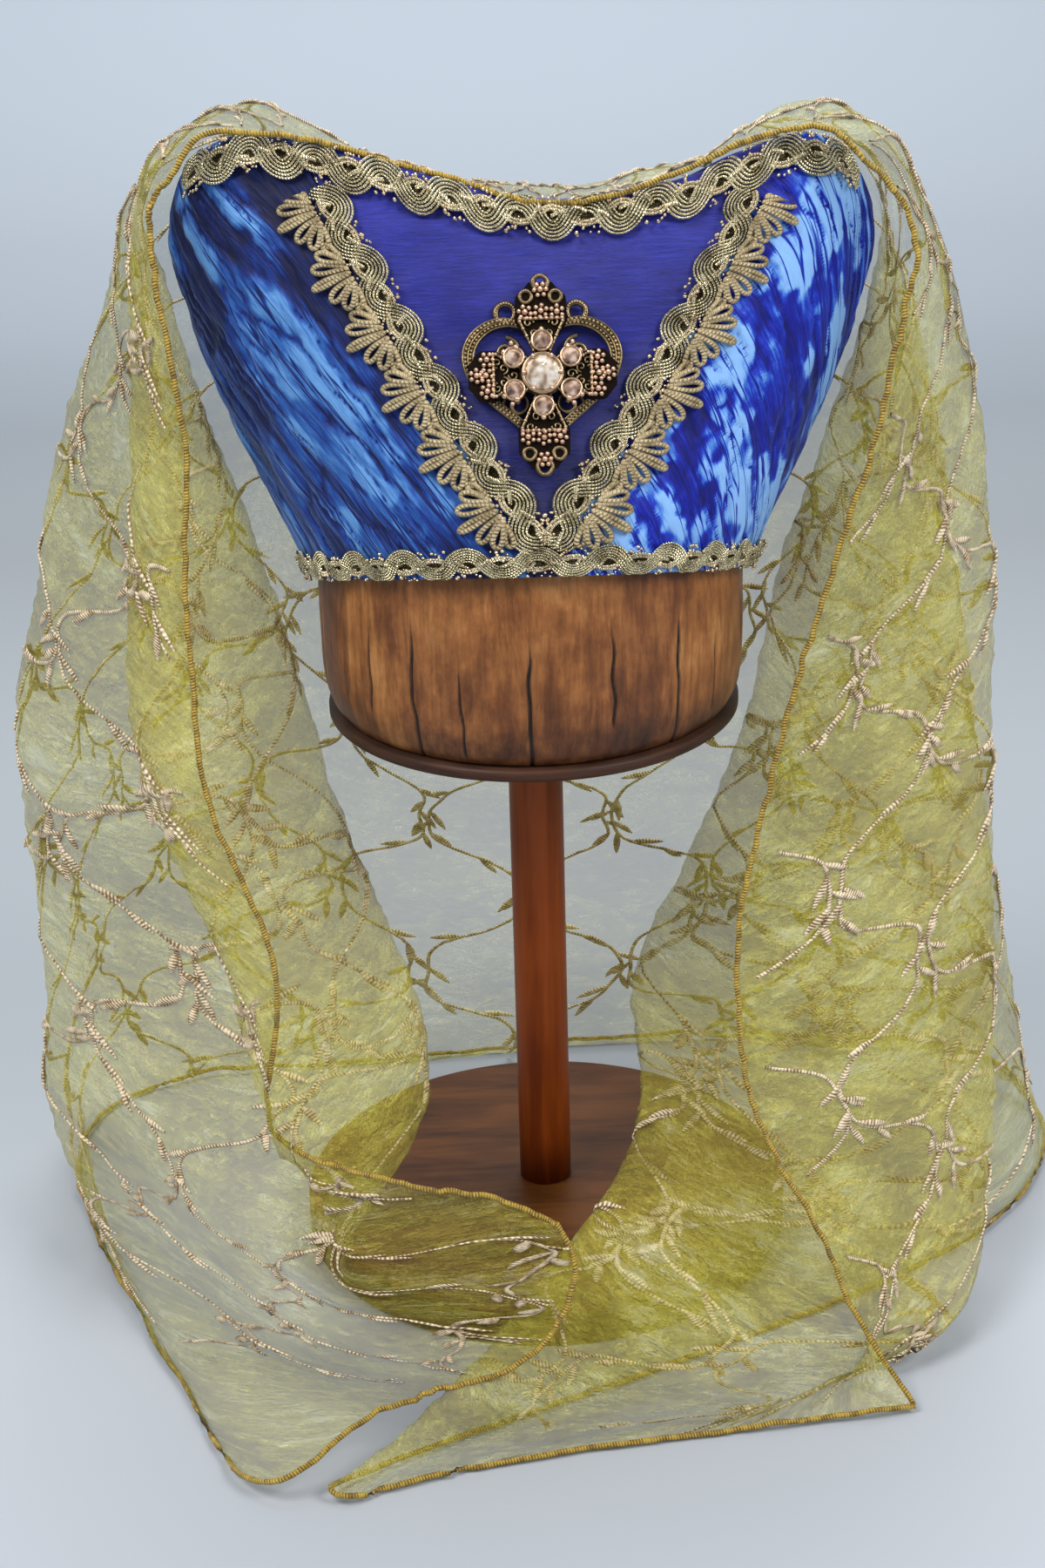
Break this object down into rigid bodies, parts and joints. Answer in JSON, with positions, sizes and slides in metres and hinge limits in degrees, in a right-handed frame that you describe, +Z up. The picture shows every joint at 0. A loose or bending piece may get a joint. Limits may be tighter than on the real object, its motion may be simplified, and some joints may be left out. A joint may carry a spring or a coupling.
{
  "type": "horned headdress on a hat block stand",
  "caption": "Horned headdress with velvet sides, a silk front, gold braid, a jewelled brooch and a long sheer veil, worn by a wooden hat block on a post and round base.",
  "frame": {"origin": "centre of the base disc's underside, on the floor", "axes": "+Z up; -Y towards the front, where the brooch is; +X to the right in a front view"},
  "size_m": [0.4538, 0.351, 0.4731],
  "materials": {
    "wood_stand": "satin varnish",
    "wood_plate": "dark stain",
    "wood_block": "worn and cracked",
    "silk": "slubbed silk",
    "velvet": "crushed velvet",
    "braid_gold": "metallic braid",
    "fringe_gold": "matte metallic cord",
    "brass": "antiqued",
    "stone": "cut and polished",
    "veil_organza": "sheer crinkled organza"
  },
  "bodies": {
    "root": {"base_disc": "wood_stand", "stand_post": "wood_stand", "block_plate": "wood_plate", "hat_block": "wood_block", "front_panel": "silk", "velvet_left": "velvet", "velvet_right": "velvet", "crown_top": "velvet", "hem_braid": "braid_gold", "rim_braid": "braid_gold", "v_braid_left": "braid_gold", "v_braid_right": "braid_gold", "loop_fringe_left": "fringe_gold", "loop_fringe_right": "fringe_gold", "brooch_heart_plate": "brass", "brooch_cross": "brass", "brooch_centre_stone": "stone", "brooch_stone_1": "stone", "brooch_stone_2": "stone", "brooch_stone_3": "stone", "brooch_stone_4": "stone", "brooch_stone_5": "stone", "brooch_stone_6": "stone", "veil": "veil_organza"}
  },
  "joints": []
}
